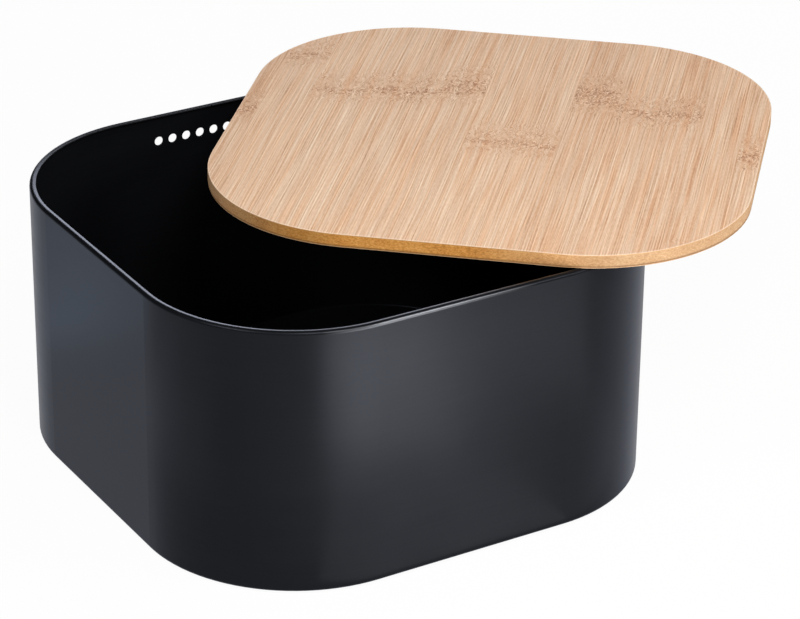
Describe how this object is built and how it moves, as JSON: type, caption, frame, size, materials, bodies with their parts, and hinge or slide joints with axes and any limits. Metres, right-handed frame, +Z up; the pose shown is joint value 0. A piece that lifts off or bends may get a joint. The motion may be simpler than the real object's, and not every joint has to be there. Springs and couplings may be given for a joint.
{
  "type": "bread box",
  "caption": "Square bread box with large rounded corners: black coated sheet-steel box with a turned-in rim and vents at the back, and a loose bamboo-veneered board lid that lifts off.",
  "frame": {"origin": "middle of the box's footprint, on the surface that its pads stand on", "axes": "+Z up, +Y towards the vented back wall, +X to the right as seen from the front"},
  "size_m": [0.4841, 0.3894, 0.1801],
  "materials": {
    "coated_steel": "matt black powder coat on sheet steel",
    "bamboo_veneer": "sanded bamboo veneer, clear matt lacquer",
    "board_core": "sawn and sanded fibreboard edge",
    "peg_wood": "turned beech dowel",
    "pad_rubber": "moulded black rubber"
  },
  "bodies": {
    "box": {"wall_band": "coated_steel", "base_plate": "coated_steel", "pad_front_left": "pad_rubber", "pad_front_right": "pad_rubber", "pad_back_left": "pad_rubber", "pad_back_right": "pad_rubber"},
    "lid": {"lid_bottom_veneer": "bamboo_veneer", "lid_core": "board_core", "lid_top_veneer": "bamboo_veneer", "lid_peg_front_left": "peg_wood", "lid_peg_front_right": "peg_wood", "lid_peg_back_left": "peg_wood", "lid_peg_back_right": "peg_wood"}
  },
  "joints": [
    {"name": "lid_lift", "type": "slide", "parent": "box", "child": "lid", "axis": [0, 0, 1], "range_m": [0, 0.25]}
  ]
}
